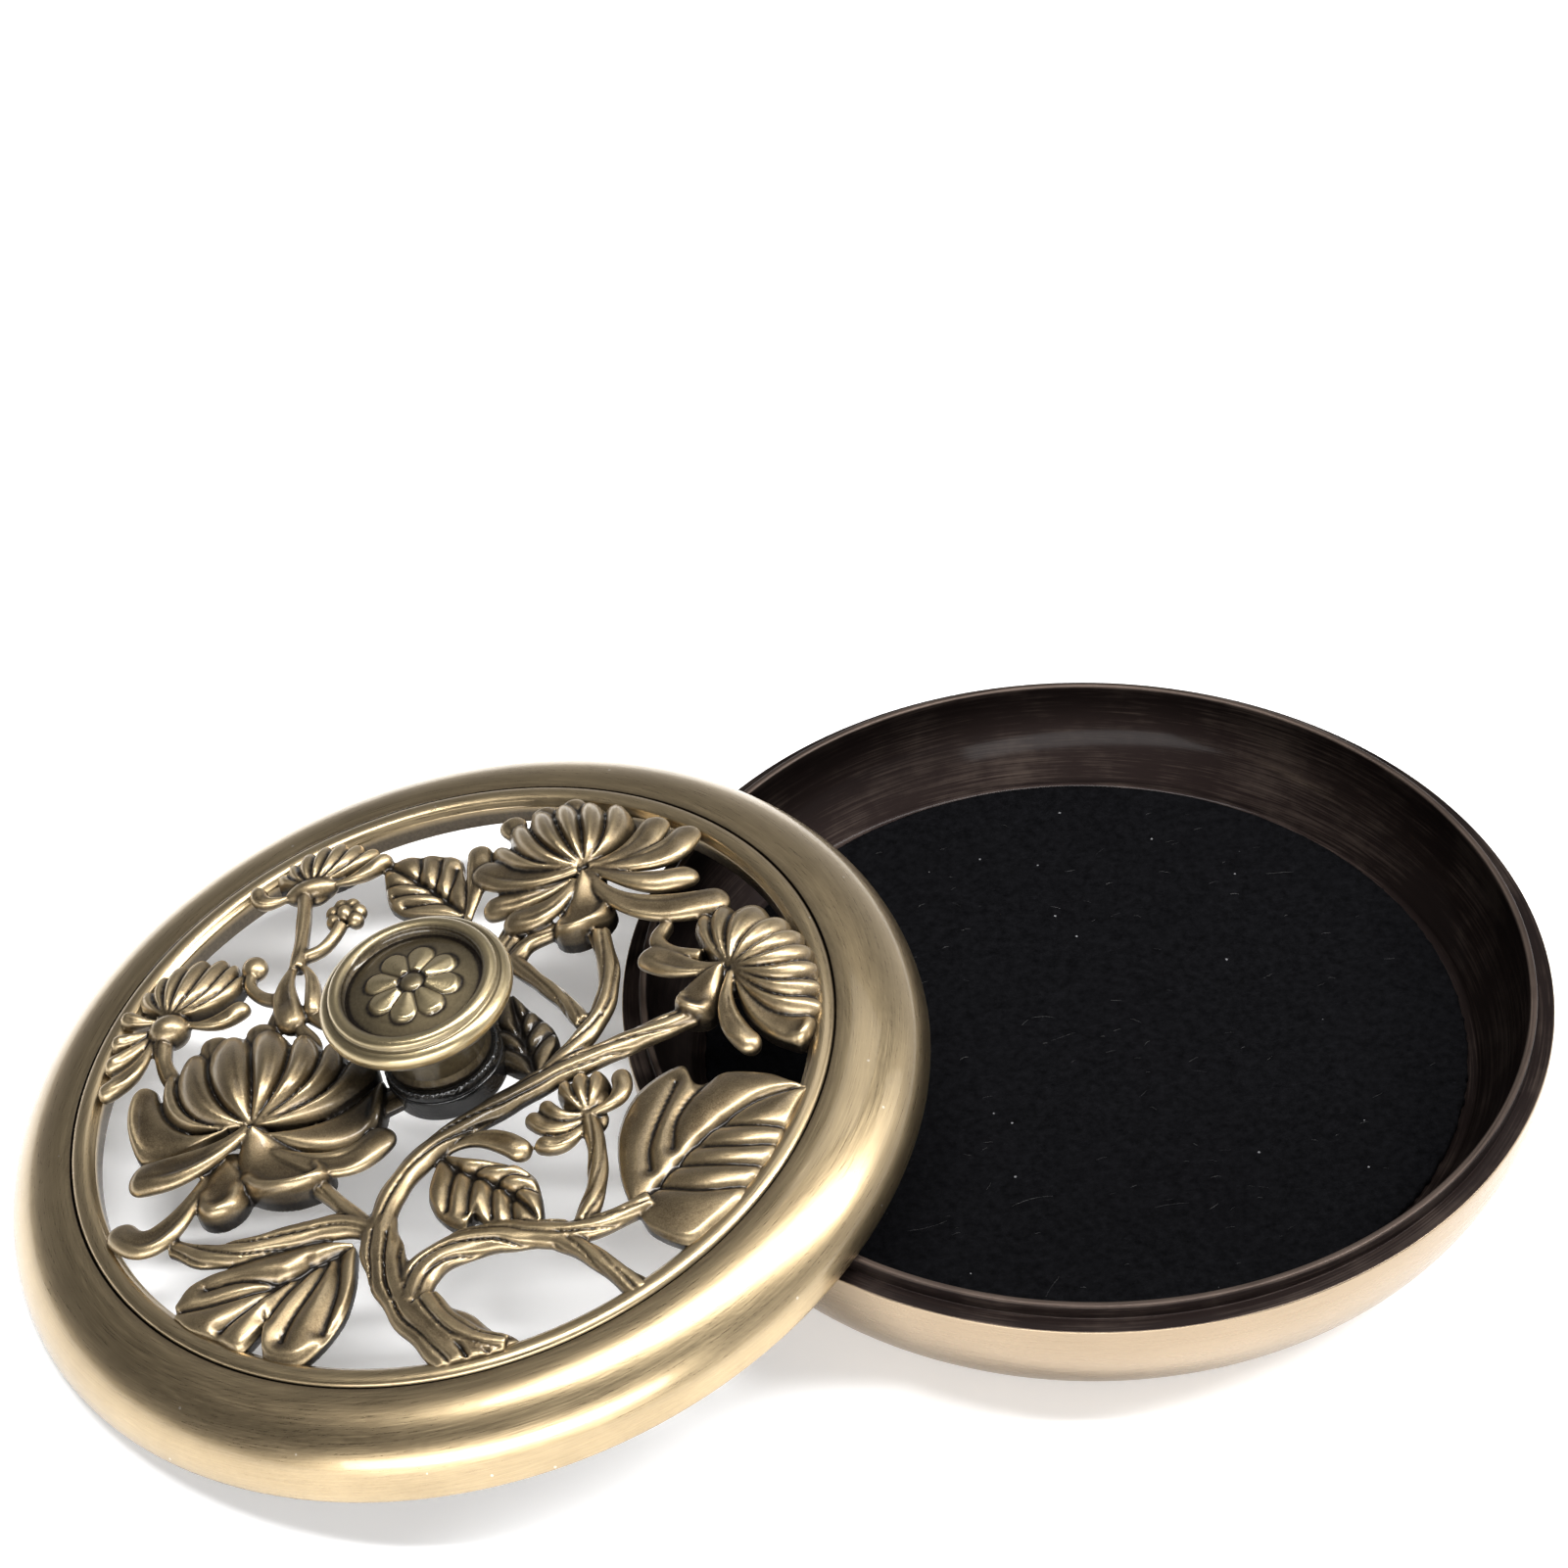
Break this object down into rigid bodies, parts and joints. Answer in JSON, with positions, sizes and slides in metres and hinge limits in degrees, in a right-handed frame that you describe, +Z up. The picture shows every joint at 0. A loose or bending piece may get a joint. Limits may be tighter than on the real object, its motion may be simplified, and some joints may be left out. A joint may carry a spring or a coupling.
{
  "type": "coil incense burner",
  "caption": "Round metal burner for coil incense: a shallow tray with a fibre mat, and a domed openwork lid of chrysanthemums with a knob, lifted off and leaning on the rim.",
  "frame": {"origin": "the centre of the tray's foot ring, on the table", "axes": "+Z up; -X towards the lid, which leans on the tray with its left edge on the table; +Y away from the viewer of the picture"},
  "size_m": [0.1992, 0.12, 0.0397],
  "materials": {
    "tray_brass": "brushed antique plating, brown inside",
    "antique_brass": "brushed antique plating",
    "dark_brass": "cast relief, dark in its hollows and worn bright on top",
    "black_felt": "matte mineral-fibre felt",
    "black_lacquer": "gloss black",
    "plated_steel": "zinc-plated"
  },
  "bodies": {
    "tray": {"tray": "tray_brass", "fire_mat": "black_felt"},
    "lid": {"lid_rim": "antique_brass", "openwork": "dark_brass", "knob_collar": "black_lacquer", "knob": "antique_brass", "knob_screw": "plated_steel", "screw_washer": "plated_steel"}
  },
  "joints": [
    {"name": "lid_lift", "type": "slide", "parent": "tray", "child": "lid", "axis": [0, 0, 1], "range_m": [0, 0.1]}
  ]
}
